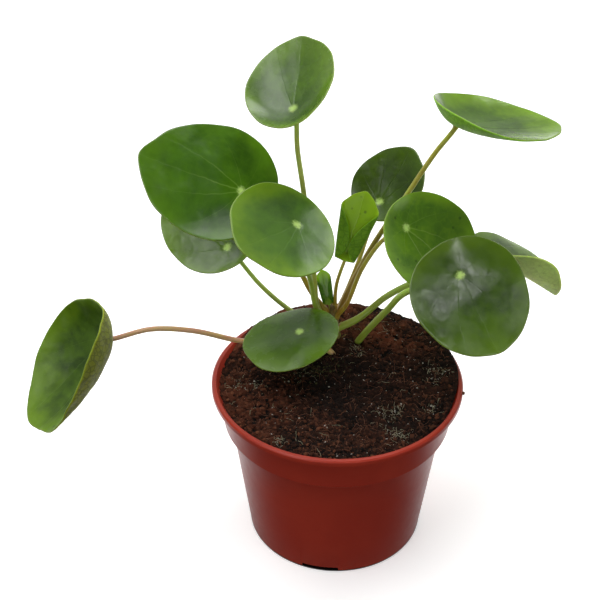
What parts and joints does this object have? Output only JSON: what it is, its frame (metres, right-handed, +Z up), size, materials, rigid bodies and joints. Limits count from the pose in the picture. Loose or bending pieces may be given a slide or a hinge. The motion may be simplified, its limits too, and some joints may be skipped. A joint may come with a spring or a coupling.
{
  "type": "potted chinese money plant",
  "caption": "Small house plant with round, flat, shield-stalked leaves fanning out of a short stem, growing in soil in a round tapered nursery pot.",
  "frame": {"origin": "centre of the pot's flat underside", "axes": "+Z up along the pot's axis, -Y towards the front that most leaves turn to, +X to the right seen from the front"},
  "size_m": [0.2588, 0.1472, 0.2362],
  "materials": {
    "pot_plastic": "terracotta-coloured moulded plastic, satin",
    "potting_soil": "dark peat and coir, crumbly",
    "stem_skin": "green-brown young bark",
    "leaf_skin": "smooth fleshy leaf, glossy above",
    "young_leaf_skin": "smooth young leaf, light green",
    "stalk_skin": "smooth green leaf stalk"
  },
  "bodies": {
    "root": {"pot": "pot_plastic", "soil": "potting_soil", "main_stem": "stem_skin", "leaf_left_drooping_blade": "leaf_skin", "leaf_left_drooping_stalk": "stalk_skin", "leaf_front_right_blade": "leaf_skin", "leaf_front_right_stalk": "stalk_skin", "leaf_left_behind_blade": "leaf_skin", "leaf_left_behind_stalk": "stalk_skin", "leaf_far_right_blade": "leaf_skin", "leaf_far_right_stalk": "stalk_skin", "leaf_front_low_blade": "leaf_skin", "leaf_front_low_stalk": "stalk_skin", "leaf_right_high_blade": "leaf_skin", "leaf_right_high_stalk": "stalk_skin", "leaf_back_blade": "leaf_skin", "leaf_back_stalk": "stalk_skin", "leaf_right_middle_blade": "leaf_skin", "leaf_right_middle_stalk": "stalk_skin", "leaf_left_big_blade": "leaf_skin", "leaf_left_big_stalk": "stalk_skin", "leaf_middle_blade": "leaf_skin", "leaf_middle_stalk": "stalk_skin", "leaf_top_blade": "leaf_skin", "leaf_top_stalk": "stalk_skin", "leaf_young_blade": "young_leaf_skin", "leaf_young_stalk": "stalk_skin", "leaf_bud_blade": "young_leaf_skin", "leaf_bud_stalk": "stalk_skin"}
  },
  "joints": []
}
